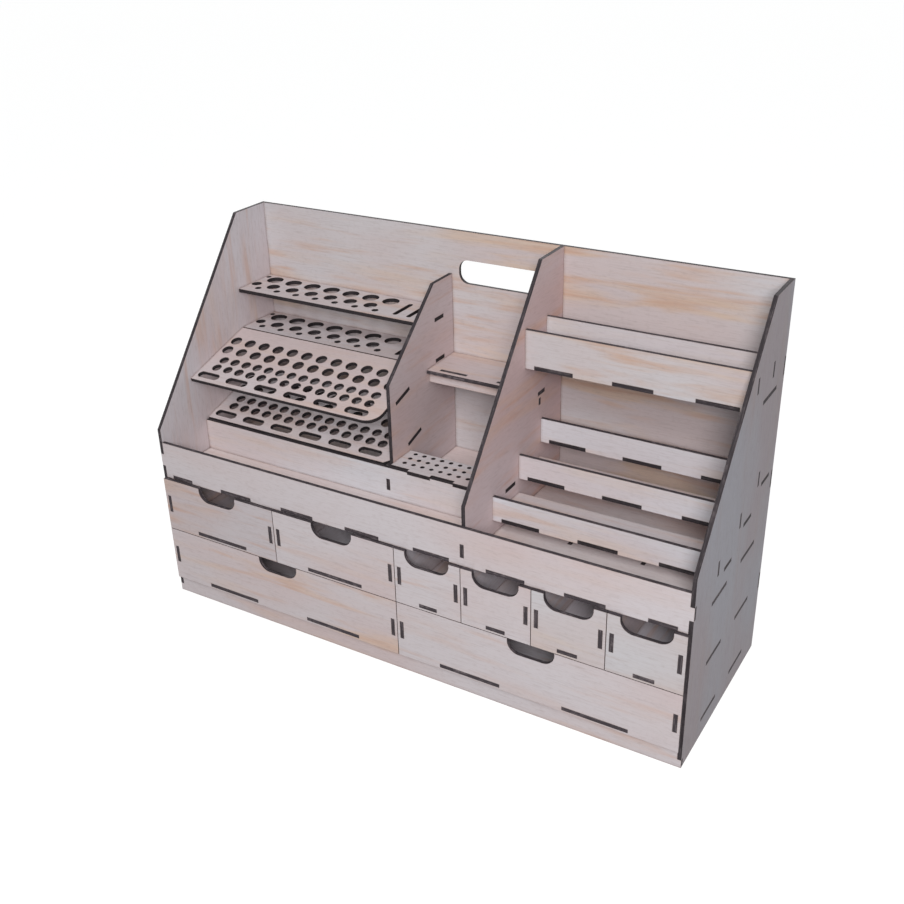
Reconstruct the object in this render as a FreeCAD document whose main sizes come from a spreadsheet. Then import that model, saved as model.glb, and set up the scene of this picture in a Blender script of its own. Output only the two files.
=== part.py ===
"""Hobby workstation organizer: laser-cut plywood sheets locked by tabs and slots, with eight drawers.

The frame is in millimetres, +Z up, with the origin at the centre of the footprint on the surface
that the organizer stands on. The drawers open towards -Y and +X is to the right seen from the front.

Sheets are drawn in carcass coordinates, whose Y is 0 at the front edges of the side panels. Every
joint is stated once, as the box that a tab fills. The sheet that owns the tab pads it and the sheet
that receives it pockets it, so both always take the same sizes.
"""
import FreeCAD, Part
import Sketcher
import os
import re
from collections import defaultdict

SIZES = [
    # overall form
    ("width", 450, "over the outer faces of the side panels"),
    ("side_depth", 156, "side panel, front edge to rear edge"),
    ("height", 300, "side panels and back panel"),
    ("ply", 3, "sheet thickness"),
    ("kerf", 0.1, "looseness of a slot round its tab, on every side"),
    ("front_rise", 11.2, "side panel's upright front edge above the fascia"),
    ("top_run", 38.5, "depth of a side panel's level top edge"),
    # drawer rows
    ("plinth", 13.5, "height of the plinth rail under the bottom board"),
    ("row_gap", 45.5, "clear height of a drawer row"),
    ("fascia_height", 31, "fascia from the underside of the top board"),
    ("fascia_tab_rise", 3.7, "tall divider's fascia tab above the tray floor"),
    ("fascia_tab", 10.7, "height of the tall divider's fascia tab"),
    ("plinth_tab", 6.6, "height of the plinth rail's end tabs"),
    # tabs of the boards
    ("board_tab", 30, "length of a board's tab"),
    ("board_tab_start", 36, "first side tab behind the front edge"),
    ("board_tab_pitch", 60, "pitch of the boards' tabs"),
    ("rear_tab_pitch", 150, "pitch of the boards' tabs through the back panel"),
    ("end_tab", 20, "last tab of the top board at each end of the fascia"),
    ("end_margin", 7, "fascia beside its last notch"),
    ("foot_tab", 30, "length of a divider's foot tab"),
    ("foot_start", 12, "first foot tab behind the fascia"),
    ("head_tab", 42, "length of a divider's head tab"),
    ("head_start", 57, "head tab behind the front edge"),
    ("finger", 14, "height of the back panel's side fingers"),
    ("finger_pitch", 88, "pitch of the fingers about mid height"),
    ("wall_tab", 30, "height of an upright tab through the back panel"),
    ("wall_tab_low", 145, "level of the lower upright tab"),
    ("wall_tab_high", 212, "level of the upper upright tab"),
    # drawers
    ("front_gap", 0.5, "gap between neighbouring drawer fronts"),
    ("front_seat", 0.2, "gap between a closed drawer front and the carcass"),
    ("box_gap", 1, "gap between a drawer box and the dividers"),
    ("box_lift", 0.3, "gap under a drawer box"),
    ("box_height", 44.5, "height of a drawer box"),
    ("box_depth", 150, "rear end of the drawer boxes"),
    ("box_tab", 15, "height of the tabs that join the box's uprights"),
    ("floor_tab", 30, "length of a drawer floor's side tab"),
    ("small_tab", 15, "width of a small drawer floor's front tab"),
    ("large_tab", 50, "width of a larger drawer floor's front tab"),
    ("large_tab_pitch", 100, "pitch of the wide drawers' front tabs"),
    ("pull_width", 37, "width of the finger pull"),
    ("pull_depth", 11.4, "depth of the finger pull"),
    ("pull_round", 9.5, "corner radius of the finger pull"),
    # tool bay, left of the short divider
    ("short_x", 40, "centre of the short divider, left of the middle"),
    ("short_rise", 206, "top of the short divider's upright front edge"),
    ("short_height", 265, "top edge of the short divider"),
    ("short_run", 27.8, "depth of the short divider's level top edge"),
    ("short_foot_start", 85, "short divider's foot tab behind the front edge"),
    ("riser_y", 52.5, "front face of the riser"),
    ("riser_tab_rise", 7, "riser's end tabs above the tray floor"),
    ("riser_tab", 9.5, "height of the riser's end tabs"),
    ("riser_foot_pitch", 120, "pitch of the riser's foot tabs"),
    ("deck_tilt", 16.66, "tilt of the two tool decks, in degrees"),
    ("deck_run", 69.5, "depth of a tool deck seen from above"),
    ("deck_tab", 20, "length of a tool deck's side tab"),
    ("upper_deck_y", 41, "front edge of the upper tool deck"),
    ("deck_round", 12, "corner radius of the upper tool deck"),
    ("deck_chamfer", 4.5, "corner chamfer of the lower tool deck"),
    ("shelf_low_z", 200, "underside of the low tool shelf"),
    ("shelf_high_z", 234, "underside of the high tool shelf"),
    ("shelf_tab", 13, "length of a tool shelf's side tab"),
    ("shelf_tab_y", 125, "front end of a tool shelf's side tab"),
    # holes of the tilted decks, measured from the deck's left and front edges
    ("long_slot_pitch", 29.2, "pitch of the long slots"),
    ("long_slot_length", 21, "length of a long slot"),
    ("long_slot_width", 7, "width of a long slot"),
    ("long_slot_row", 7.5, "row of long slots behind the front edge"),
    ("bit_hole", 8, "diameter of the smaller tool holes"),
    ("bit_pitch", 11.6, "pitch of the smaller tool holes"),
    ("bit_row", 18.5, "first row of smaller tool holes"),
    ("bit_row_gap", 10, "gap between the two rows of smaller tool holes"),
    ("driver_hole", 9.6, "diameter of the larger tool holes"),
    ("driver_pitch", 14.7, "pitch of the larger tool holes"),
    ("driver_row", 41.5, "first row of larger tool holes"),
    ("driver_row_gap", 12.5, "gap between the two rows of larger tool holes"),
    ("edge_margin", 7, "first larger tool hole from the left edge"),
    ("slot_margin", 13.4, "first slot, smaller hole or handle hole from the left edge"),
    # holes of the level shelves, measured from the shelf's left edge and the carcass front
    ("handle_hole", 14, "diameter of the largest holes"),
    ("handle_pitch", 19.7, "pitch of the shelf's holes"),
    ("handle_row", 142.5, "row of the largest holes"),
    ("shank_hole", 11, "diameter of the middle holes"),
    ("shank_row", 127.5, "row of the middle holes"),
    ("needle_hole", 5.5, "diameter of the small holes"),
    ("needle_row", 119.5, "row of the small holes"),
    ("blade_slot", 4, "width of the blade slots"),
    ("blade_start", 118, "front end of the blade slots"),
    ("blade_end", 144.5, "rear end of the blade slots"),
    ("blade_near", 17.5, "blade slot nearest to the short divider"),
    ("blade_pitch", 12.7, "pitch of the blade slots"),
    # pliers bay, between the short and the tall divider
    ("pliers_depth", 27.5, "depth of the pliers deck behind the riser"),
    ("pliers_tab", 20, "width of the pliers deck's front tabs"),
    ("pliers_tab_pitch", 40, "pitch of the pliers deck's front tabs"),
    ("pliers_side_tab", 15, "length of the pliers deck's side tabs"),
    ("pliers_side_y", 62, "front end of the pliers deck's side tabs"),
    ("grid_hole", 3.5, "diameter of the pliers deck's holes"),
    ("grid_pitch", 8, "pitch of the pliers deck's holes"),
    ("grid_margin", 7.5, "first hole from the deck's left and front edges"),
    ("ledge_y", 111, "front edge of the pliers ledge"),
    ("ledge_z", 196, "underside of the pliers ledge"),
    ("ledge_tab", 11, "length of the ledge's side tabs"),
    ("ledge_setback", 3.5, "rail behind the ledge's front edge"),
    ("rail_height", 8, "height of the ledge rail"),
    ("rail_tab", 5.5, "height of the ledge rail's end tabs"),
    ("rail_top_tab", 23.5, "length of the rail's tabs up through the ledge"),
    ("rail_top_pitch", 50, "pitch of the rail's tabs up through the ledge"),
    ("grip_width", 80, "width of the hand hole"),
    ("grip_height", 19, "height of the hand hole"),
    ("grip_drop", 22.5, "hand hole below the top edge"),
    ("grip_round", 8, "corner radius of the hand hole"),
    # paint side, between the tall divider and the right side panel
    ("step_clear", 12.5, "gap between the tray floor and the lowest paint step"),
    ("step_rise", 15, "rise from one paint step to the next"),
    ("step_lip", 19.5, "height of a step's lip"),
    ("lip_tab", 11.5, "height of a lip's end tabs"),
    ("lip_tab_drop", 4, "lip above its end tabs"),
    ("step_1_y", 42.3, "lip of the lowest step"),
    ("step_2_y", 83, "lip of the middle step"),
    ("step_3_y", 118.5, "lip of the upper step"),
    ("step_2_depth", 31, "depth of the middle step's shelf"),
    ("high_shelf_y", 92, "front lip of the high paint shelf"),
    ("high_shelf_z", 226.5, "underside of the high paint shelf"),
    ("high_lip", 29.5, "height of the high shelf's front lip"),
    ("back_lip_y", 126, "back lip of the high paint shelf"),
    ("back_lip", 25.5, "height of the back lip above the shelf"),
    ("paint_tab_margin", 7.3, "wall to the nearest front tab of a paint shelf"),
    ("paint_tab_1", 15, "side tab of the lowest step"),
    ("paint_tab_2", 17, "side tab of the middle step"),
    ("paint_tab_3", 18, "side tab of the upper step"),
    ("paint_tab_high", 30, "side tab of the high paint shelf"),
]

PLANES = {"XY": (0, 1), "XZ": (0, 2), "YZ": (1, 2)}

doc = FreeCAD.newDocument("organizer")
dims = doc.addObject("Spreadsheet::Sheet", "dims")
for row, (alias, size, note) in enumerate(SIZES, start=1):
    dims.set(f"A{row}", alias)
    dims.set(f"B{row}", str(size))
    dims.set(f"C{row}", note)
    dims.setAlias(f"B{row}", alias)
doc.recompute()

ALIAS = re.compile(r"\b(" + "|".join(alias for alias, size, note in SIZES) + r")\b")
tabs = defaultdict(list)
slots = defaultdict(list)
nodes = {}


# ---------------------------------------------------------------- expressions and sketches
def linked(text):
    """Expression text in which every named size points at its cell of the sheet."""
    return ALIAS.sub(r"dims.\1", text)


def value(text):
    """Number that an expression gives with the present sizes."""
    return float(dims.evalExpression(linked(text)))


def bind(thing, prop, text):
    thing.setExpression(prop, linked(text))


def add_sketch(body, plane, name):
    """Sketch on one of the body's own origin planes."""
    sketch = body.newObject("Sketcher::SketchObject", name)
    origin = [f for f in body.Origin.OriginFeatures if f.Role == f"{plane}_Plane"][0]
    sketch.AttachmentSupport = (origin, "")
    sketch.MapMode = "FlatFace"
    return sketch


def place_point(sketch, geometry, end, across, up):
    """Tie a point of the sketch to its two coordinates; an omitted one stays with its neighbour."""
    for kind, text in (("DistanceX", across), ("DistanceY", up)):
        if text is not None:
            index = sketch.addConstraint(Sketcher.Constraint(kind, -1, 1, geometry, end, value(text)))
            bind(sketch, f"Constraints[{index}]", text)


def add_loop(sketch, corners):
    """Closed outline through corners given as (across, up) pairs of expressions."""
    count = len(corners)
    first = sketch.GeometryCount
    points = [FreeCAD.Vector(value(across), value(up), 0) for across, up in corners]
    sketch.addGeometry([Part.LineSegment(points[i], points[(i + 1) % count]) for i in range(count)], False)
    for i in range(count):
        after = (i + 1) % count
        sketch.addConstraint(Sketcher.Constraint("Coincident", first + i, 2, first + after, 1))
        if corners[i][0] == corners[after][0]:
            sketch.addConstraint(Sketcher.Constraint("Vertical", first + i))
        if corners[i][1] == corners[after][1]:
            sketch.addConstraint(Sketcher.Constraint("Horizontal", first + i))
    for i, corner in enumerate(corners):
        tied = [i > 0 and corners[i - 1][k] == corner[k] for k in (0, 1)]
        if i == count - 1:
            tied = [tied[k] or corners[0][k] == corner[k] for k in (0, 1)]
        place_point(sketch, first + i, 1, *[None if tied[k] else corner[k] for k in (0, 1)])


def add_hole(sketch, centre, breadth, reach=("0", "0"), sides=8):
    """Hole cut as a regular polygon whose flats touch its circle, which spares facets in a perforated
    sheet; reach moves the two ends of a long slot apart from its centre, across or up."""
    corner = f"({breadth}) / 2 / cos(180 / {sides})"
    corners = []
    for step in range(sides):
        angle = (step + 0.5) * 360 / sides
        right = "+" if angle < 90 or angle > 270 else "-"
        upper = "+" if angle < 180 else "-"
        corners.append((f"{centre[0]} + {corner} * cos({angle}) {right} {reach[0]}",
                        f"{centre[1]} + {corner} * sin({angle}) {upper} {reach[1]}"))
    add_loop(sketch, corners)


# ---------------------------------------------------------------- features of a sheet
def add_pad(body, sketch, name, reverse):
    pad = body.newObject("PartDesign::Pad", name)
    pad.Profile = sketch
    pad.Reversed = reverse
    bind(pad, "Length", "ply")
    return pad


def add_pocket(body, sketch, name):
    """Cut right through the sheet, to both sides of the sketch."""
    pocket = body.newObject("PartDesign::Pocket", name)
    pocket.Profile = sketch
    pocket.Type = "ThroughAll"
    pocket.SideType = "Symmetric"
    return pocket


def add_pattern(body, feature, name, pitch, count):
    """Row of copies of a cut across the sheet."""
    pattern = body.newObject("PartDesign::LinearPattern", name)
    pattern.Originals = [feature]
    pattern.Direction = (feature.Profile[0], ["H_Axis"])
    pattern.Mode = "Spacing"
    bind(pattern, "Offset", pitch)
    bind(pattern, "Occurrences", count)
    body.Tip = pattern


def flat(plane, box, grow="0"):
    """Corners of a box of (low, high) ranges in X, Y and Z, seen in a sheet's own plane."""
    low_a, high_a, low_b, high_b = [f"({text})" for axis in PLANES[plane] for text in box[axis]]
    if grow != "0":
        low_a, low_b = f"{low_a} - {grow}", f"{low_b} - {grow}"
        high_a, high_b = f"{high_a} + {grow}", f"{high_b} + {grow}"
    return [(low_a, low_b), (high_a, low_b), (high_a, high_b), (low_a, high_b)]


def add_loops(body, plane, name, loops):
    sketch = add_sketch(body, plane, name)
    for corners in loops:
        add_loop(sketch, corners)
    return sketch


def add_sheet(name, plane, level, outline, tilted_slots=()):
    """Sheet cut to its outline, with the tabs and slots of every joint that names it."""
    body = doc.addObject("PartDesign::Body", name)
    body.Label = name
    offset = {"XY": "z", "XZ": "y", "YZ": "x"}[plane]
    bind(body, "Placement.Base.y", f"{level} + {FRONT_Y}" if offset == "y" else FRONT_Y)
    if offset != "y":
        bind(body, f"Placement.Base.{offset}", level)
    reverse = plane == "XZ"
    add_pad(body, add_loops(body, plane, name + "_outline", [outline]), name + "_blank", reverse)
    if tabs[name]:
        loops = [flat(plane, box) for box in tabs[name]]
        add_pad(body, add_loops(body, plane, name + "_tab_lines", loops), name + "_tabs", reverse)
    if slots[name] or tilted_slots:
        loops = [flat(plane, box, "kerf") for box in slots[name]] + list(tilted_slots)
        add_pocket(body, add_loops(body, plane, name + "_slot_lines", loops), name + "_slots")
    nodes[name] = body
    return body


def edges_near(feature, plane, corners):
    """Names of the edges that run through the sheet's thickness at the given corners."""
    first, second = PLANES[plane]
    names = []
    for index, edge in enumerate(feature.Shape.Edges, start=1):
        ends = [vertex.Point for vertex in edge.Vertexes]
        for across, up in corners:
            if len(ends) == 2 and all(abs(end[first] - value(across)) < 0.01
                                      and abs(end[second] - value(up)) < 0.01 for end in ends):
                names.append(f"Edge{index}")
    return names


def dress_corners(body, plane, kind, name, size, corners):
    """Fillet or Chamfer on the corners of a cut or of the outline."""
    doc.recompute()
    base = body.Tip
    edges = edges_near(base, plane, corners)
    dressing = body.newObject(f"PartDesign::{kind}", name)
    dressing.Base = (base, edges)
    bind(dressing, "Radius" if kind == "Fillet" else "Size", size)
    return dressing


def joint(owner, receiver, x, y, z):
    """Tab of one sheet in a slot of another: one (low, high) range of expressions for each axis."""
    tabs[owner].append((x, y, z))
    slots[receiver].append((x, y, z))


def join_solids(name, parts):
    """One node from several loose sheets."""
    group = doc.addObject("Part::Compound", name)
    group.Label = name
    group.Links = [nodes.pop(part) for part in parts]
    nodes[name] = group


def centred(middle, length):
    return (f"{middle} - {length} / 2", f"{middle} + {length} / 2")


# ---------------------------------------------------------------- shared places
FRONT_Y = "-(side_depth - ply - front_seat) / 2"
OUT = "(width / 2)"
IN = "(width / 2 - ply)"
BACK = "(side_depth - ply)"
MIDDLE_Z = "(plinth + ply + row_gap)"
TOP_Z = "(plinth + 2 * ply + 2 * row_gap)"
TRAY_Z = f"({TOP_Z} + ply)"
RIM_Z = f"({TOP_Z} + fascia_height)"
STEP_Z = f"({TRAY_Z} + step_clear)"
COLUMN = "((width - ply) / 8)"
SHORT_LEFT = "(-short_x - ply / 2)"
SHORT_RIGHT = "(-short_x + ply / 2)"
TALL_LEFT = f"({COLUMN} - ply / 2)"
TALL_RIGHT = f"({COLUMN} + ply / 2)"
PLIERS_MIDDLE = f"(({SHORT_RIGHT} + {TALL_LEFT}) / 2)"
PAINT_MIDDLE = f"(({TALL_RIGHT} + {IN}) / 2)"
PAINT_TAB_PITCH = f"(({IN} - {TALL_RIGHT} - board_tab) / 2 - paint_tab_margin)"
TOOL_MIDDLE = f"((-{IN} + {SHORT_LEFT}) / 2)"
DECK_BACK = "(upper_deck_y + deck_run)"

LEFT_WALL = (f"-{OUT}", f"-{IN}")
RIGHT_WALL = (IN, OUT)
SHORT_WALL = (SHORT_LEFT, SHORT_RIGHT)
TALL_WALL = (TALL_LEFT, TALL_RIGHT)
BACK_WALL = (BACK, "side_depth")
FRONT_WALL = ("0", "ply")


def above(level, thickness="ply"):
    return (level, f"{level} + {thickness}")


# ---------------------------------------------------------------- carcass joints
def board_joints(name, level):
    """Two tabs into each side panel and three into the back panel."""
    for panel, wall in (("side_panel_left", LEFT_WALL), ("side_panel_right", RIGHT_WALL)):
        for start in ("board_tab_start", "board_tab_start + board_tab_pitch"):
            joint(name, panel, wall, (start, f"{start} + board_tab"), above(level))
    for middle in ("-rear_tab_pitch", "0", "rear_tab_pitch"):
        joint(name, "back_panel", centred(middle, "board_tab"), BACK_WALL, above(level))


def fascia_tabs():
    """Ranges of the top board's tabs through the fascia: full tabs at a pitch, a short one at each end."""
    end = (f"{IN} - end_margin - end_tab", f"{IN} - end_margin")
    count = int((value(end[0]) - value("board_tab")) / value("board_tab_pitch") + 0.5)
    ranges = [centred(f"{step + 0.5} * board_tab_pitch", "board_tab") for step in range(count)] + [end]
    return ranges + [(f"-({high})", f"-({low})") for low, high in ranges]


def divider_joints(name, middle, floor, ceiling, floor_z, ceiling_z):
    """Head tab into the board above and two foot tabs into the board below."""
    wall = centred(middle, "ply")
    joint(name, ceiling, wall, ("head_start", "head_start + head_tab"), above(ceiling_z))
    foot_joints(name, floor, wall, floor_z)


def foot_joints(name, floor, wall, floor_z):
    for start in ("ply + foot_start", f"{BACK} - foot_start - foot_tab"):
        joint(name, floor, wall, (start, f"{start} + foot_tab"), above(floor_z))


def side_tab_joints(name, panels, y, z):
    """A tab at each end of a shelf or lip."""
    for panel, wall in panels:
        joint(name, panel, wall, y, z)


TOOL_PANELS = (("side_panel_left", LEFT_WALL), ("short_divider", SHORT_WALL))
PLIERS_PANELS = (("short_divider", SHORT_WALL), ("tall_divider", TALL_WALL))
PAINT_PANELS = (("tall_divider", TALL_WALL), ("side_panel_right", RIGHT_WALL))
OUTER_PANELS = (("side_panel_left", LEFT_WALL), ("side_panel_right", RIGHT_WALL))

board_joints("bottom_board", "plinth")
board_joints("middle_board", MIDDLE_Z)
board_joints("top_board", TOP_Z)
for across in fascia_tabs():
    joint("top_board", "fascia", across, FRONT_WALL, above(TOP_Z))
side_tab_joints("fascia", OUTER_PANELS, FRONT_WALL,
                (f"{TOP_Z} + fascia_height / 3", f"{TOP_Z} + fascia_height * 2 / 3"))
side_tab_joints("plinth_rail", OUTER_PANELS, FRONT_WALL, ("0", "plinth_tab"))
for middle in ("height / 2 - finger_pitch", "height / 2", "height / 2 + finger_pitch"):
    side_tab_joints("back_panel", OUTER_PANELS, BACK_WALL, centred(middle, "finger"))

UPPER_DIVIDERS = {f"upper_divider_{order}": f"{place} * {COLUMN}"
                  for order, place in enumerate((-2, 0, 1, 2, 3), start=1)}
for name, middle in UPPER_DIVIDERS.items():
    divider_joints(name, middle, "middle_board", "top_board", MIDDLE_Z, TOP_Z)
divider_joints("lower_divider", "0", "bottom_board", "middle_board", "plinth", MIDDLE_Z)

foot_joints("tall_divider", "top_board", TALL_WALL, TOP_Z)
joint("tall_divider", "fascia", TALL_WALL, FRONT_WALL, above(f"{TRAY_Z} + fascia_tab_rise", "fascia_tab"))
joint("short_divider", "top_board", SHORT_WALL, ("short_foot_start", "short_foot_start + foot_tab"),
      above(TOP_Z))
RISER_TAB_Z = above(f"{TRAY_Z} + riser_tab_rise", "riser_tab")
RISER_Y = ("riser_y", "riser_y + ply")
joint("short_divider", "riser", SHORT_WALL, RISER_Y, RISER_TAB_Z)
side_tab_joints("riser", (("side_panel_left", LEFT_WALL), ("tall_divider", TALL_WALL)), RISER_Y, RISER_TAB_Z)
for side in ("-", "+"):
    middle = f"(-{IN} + {TALL_LEFT}) / 2 {side} riser_foot_pitch / 2"
    joint("riser", "top_board", centred(middle, "foot_tab"), RISER_Y, above(TOP_Z))
for divider, wall in (("short_divider", SHORT_WALL), ("tall_divider", TALL_WALL)):
    for level in ("wall_tab_low", "wall_tab_high"):
        joint(divider, "back_panel", wall, BACK_WALL, above(level, "wall_tab"))


# ---------------------------------------------------------------- tool bay, pliers bay and paint side
TOOL_SHELVES = {"tool_shelf_low": "shelf_low_z", "tool_shelf_high": "shelf_high_z"}
for name, level in TOOL_SHELVES.items():
    side_tab_joints(name, TOOL_PANELS, ("shelf_tab_y", "shelf_tab_y + shelf_tab"), above(level))
    joint(name, "back_panel", centred(TOOL_MIDDLE, "board_tab"), BACK_WALL, above(level))

PLIERS_Z = (f"{RIM_Z} - ply", RIM_Z)
side_tab_joints("pliers_deck", PLIERS_PANELS, ("pliers_side_y", "pliers_side_y + pliers_side_tab"), PLIERS_Z)
for side in ("-", "+"):
    middle = f"{PLIERS_MIDDLE} {side} pliers_tab_pitch / 2"
    joint("pliers_deck", "riser", centred(middle, "pliers_tab"), RISER_Y, PLIERS_Z)

RAIL_Y = above("ledge_y + ledge_setback")
side_tab_joints("pliers_ledge", PLIERS_PANELS, above("ledge_y + 2", "ledge_tab"), above("ledge_z"))
joint("pliers_ledge", "back_panel", centred(PLIERS_MIDDLE, "board_tab"), BACK_WALL, above("ledge_z"))
side_tab_joints("ledge_rail", PLIERS_PANELS, RAIL_Y, above("ledge_z - rail_height", "rail_tab"))
for side in ("-", "+"):
    middle = f"{PLIERS_MIDDLE} {side} rail_top_pitch / 2"
    joint("ledge_rail", "pliers_ledge", centred(middle, "rail_top_tab"), RAIL_Y, above("ledge_z"))

# name: front edge, rear edge, underside, side tab length, lip that its front tabs pass through
PAINT_SHELVES = {
    "paint_shelf_1": ("high_shelf_y + ply", BACK, "high_shelf_z", "paint_tab_high", "lip_high_front"),
    "paint_shelf_2": ("step_3_y + ply", BACK, f"{STEP_Z} + 2 * step_rise", "paint_tab_3", "step_lip_3"),
    "paint_shelf_3": ("step_2_y + ply", "step_2_y + ply + step_2_depth", f"{STEP_Z} + step_rise",
                      "paint_tab_2", "step_lip_2"),
    "paint_shelf_4": ("step_1_y + ply", "step_2_y", STEP_Z, "paint_tab_1", "step_lip_1"),
}
# name: front face, lower edge, upper edge
LIPS = {
    "lip_high_front": ("high_shelf_y", "high_shelf_z", "high_shelf_z + high_lip"),
    "lip_high_back": ("back_lip_y", "high_shelf_z + ply", "high_shelf_z + ply + back_lip"),
    "step_lip_1": ("step_1_y", STEP_Z, f"{STEP_Z} + step_lip"),
    "step_lip_2": ("step_2_y", f"{STEP_Z} + step_rise", f"{STEP_Z} + step_rise + step_lip"),
    "step_lip_3": ("step_3_y", f"{STEP_Z} + 2 * step_rise", f"{STEP_Z} + 2 * step_rise + step_lip"),
}
for name, (front, rear, level, tab, lip) in PAINT_SHELVES.items():
    side_tab_joints(name, PAINT_PANELS, centred(f"({front} + {rear}) / 2", tab), above(level))
    for middle in (f"{PAINT_MIDDLE} - {PAINT_TAB_PITCH}", PAINT_MIDDLE, f"{PAINT_MIDDLE} + {PAINT_TAB_PITCH}"):
        joint(name, lip, centred(middle, "board_tab"), (f"{front} - ply", front), above(level))
    if rear == BACK:
        joint(name, "back_panel", centred(PAINT_MIDDLE, "board_tab"), BACK_WALL, above(level))
for name, (front, low, high) in LIPS.items():
    side_tab_joints(name, PAINT_PANELS, above(front), (f"{high} - lip_tab_drop - lip_tab", f"{high} - lip_tab_drop"))


# ---------------------------------------------------------------- tilted tool decks
DECK_LENGTH = "(deck_run / cos(deck_tilt) - ply * tan(deck_tilt))"
DECK_TAB_START = f"({DECK_LENGTH} - deck_tab) / 2"
# name: front top edge as Y and Z
TOOL_DECKS = {
    "lower_tool_deck": ("riser_y + ply", RIM_Z),
    "upper_tool_deck": ("upper_deck_y", "shelf_low_z + ply - deck_run * tan(deck_tilt)"),
}


def tilted_slot(front_y, front_z):
    """Slot of a side panel or the short divider round a tool deck's tab, in Y and Z."""
    corners = []
    for along, down in (("- kerf", "ply + kerf"), ("+ deck_tab + kerf", "ply + kerf"),
                        ("+ deck_tab + kerf", "-kerf"), ("- kerf", "-kerf")):
        run = f"({DECK_TAB_START} {along})"
        corners.append((f"{front_y} + {run} * cos(deck_tilt) + ({down}) * sin(deck_tilt)",
                        f"{front_z} + {run} * sin(deck_tilt) - ({down}) * cos(deck_tilt)"))
    return corners


DECK_SLOTS = [tilted_slot(front_y, front_z) for front_y, front_z in TOOL_DECKS.values()]


def add_hole_row(body, name, holes, pitch, first, room):
    """Row of holes at a pitch that fills the room left of the short divider."""
    sketch = add_sketch(body, "XY", name + "_lines")
    for up, diameter in holes:
        add_hole(sketch, (f"-{IN} + {first}", up), diameter)
    pocket = add_pocket(body, sketch, name)
    add_pattern(body, pocket, name + "_row", pitch, row_count(first, pitch, room))


def row_count(first, pitch, room):
    """Number of copies from the first place to the room's end."""
    return f"floor(({SHORT_LEFT} + {IN} - {first} - {room}) / {pitch}) + 1"


def add_tool_deck(name, front_y, front_z):
    """Perforated deck, drawn flat and tilted up towards the back about its front top edge."""
    body = doc.addObject("PartDesign::Body", name)
    body.Label = name
    bind(body, "Placement.Base.y", f"{front_y} + {FRONT_Y}")
    bind(body, "Placement.Base.z", front_z)
    bind(body, "Placement.Rotation.Axis.x", "1")
    bind(body, "Placement.Rotation.Axis.z", "0")
    bind(body, "Placement.Rotation.Angle", "deck_tilt")
    outline = [(f"-{IN}", "0"), (SHORT_LEFT, "0"), (SHORT_LEFT, DECK_LENGTH), (f"-{IN}", DECK_LENGTH)]
    add_pad(body, add_loops(body, "XY", name + "_outline", [outline]), name + "_blank", True)
    along = (DECK_TAB_START, f"{DECK_TAB_START} + deck_tab")
    loops = [flat("XY", (wall, along)) for wall in (LEFT_WALL, SHORT_WALL)]
    add_pad(body, add_loops(body, "XY", name + "_tab_lines", loops), name + "_tabs", True)
    kind, size = ("Fillet", "deck_round") if name == "upper_tool_deck" else ("Chamfer", "deck_chamfer")
    dress_corners(body, "XY", kind, name + "_corner", size, [(SHORT_LEFT, "0")])
    sketch = add_sketch(body, "XY", name + "_long_slot_lines")
    reach = ("(long_slot_length - long_slot_width) / 2", "0")
    add_hole(sketch, (f"-{IN} + slot_margin", "long_slot_row"), "long_slot_width", reach)
    pocket = add_pocket(body, sketch, name + "_long_slot")
    add_pattern(body, pocket, name + "_long_slot_row", "long_slot_pitch",
                row_count("slot_margin", "long_slot_pitch", "long_slot_length / 2 + edge_margin"))
    add_hole_row(body, name + "_bit", [("bit_row", "bit_hole"), ("bit_row + bit_row_gap", "bit_hole")],
                 "bit_pitch", "slot_margin", "slot_margin")
    add_hole_row(body, name + "_driver",
                 [("driver_row", "driver_hole"), ("driver_row + driver_row_gap", "driver_hole")],
                 "driver_pitch", "edge_margin", "edge_margin")
    nodes[name] = body


def add_tool_shelf(name, level):
    """Level perforated shelf behind the upper tool deck."""
    outline = flat("XY", ((f"-{IN}", SHORT_LEFT), (DECK_BACK, BACK)))
    body = add_sheet(name, "XY", level, outline)
    add_hole_row(body, name + "_handle", [("handle_row", "handle_hole"), ("needle_row", "needle_hole")],
                 "handle_pitch", "slot_margin", "(blade_near + 2 * blade_pitch)")
    add_hole_row(body, name + "_shank", [("shank_row", "shank_hole")],
                 "handle_pitch", "(slot_margin + handle_pitch / 2)", "(blade_near + 2 * blade_pitch)")
    sketch = add_sketch(body, "XY", name + "_blade_lines")
    reach = ("0", "(blade_end - blade_start - blade_slot) / 2")
    for step in (0, 1):
        centre = (f"{SHORT_LEFT} - blade_near - {step} * blade_pitch", "(blade_start + blade_end) / 2")
        add_hole(sketch, centre, "blade_slot", reach)
    add_pocket(body, sketch, name + "_blades")


# ---------------------------------------------------------------- carcass sheets
def slanted(front_y, foot_z):
    """Outline in Y and Z with the side panels' slanted front edge, starting at a given front edge."""
    slope = f"(height - {RIM_Z} - front_rise) / (side_depth - top_run)"
    shoulder = f"{RIM_Z} + front_rise + ({front_y}) * {slope}"
    rear = "side_depth" if front_y == "0" else BACK
    return [(front_y, foot_z), (rear, foot_z), (rear, "height"), ("side_depth - top_run", "height"),
            (front_y, shoulder)]


for name, level in (("side_panel_left", f"-{OUT}"), ("side_panel_right", IN)):
    extra = DECK_SLOTS if name == "side_panel_left" else ()
    add_sheet(name, "YZ", level, slanted("0", "0"), extra)
add_sheet("tall_divider", "YZ", TALL_LEFT, slanted("ply", TRAY_Z))
SHORT_FRONT = "(riser_y + 2 * ply)"
short_outline = [
    ("riser_y + ply", TRAY_Z), (BACK, TRAY_Z), (BACK, "short_height"),
    (f"{BACK} - short_run", "short_height"), (SHORT_FRONT, "short_rise"), (SHORT_FRONT, RIM_Z),
    ("riser_y + ply", RIM_Z),
]
add_sheet("short_divider", "YZ", SHORT_LEFT, short_outline, DECK_SLOTS)

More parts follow.
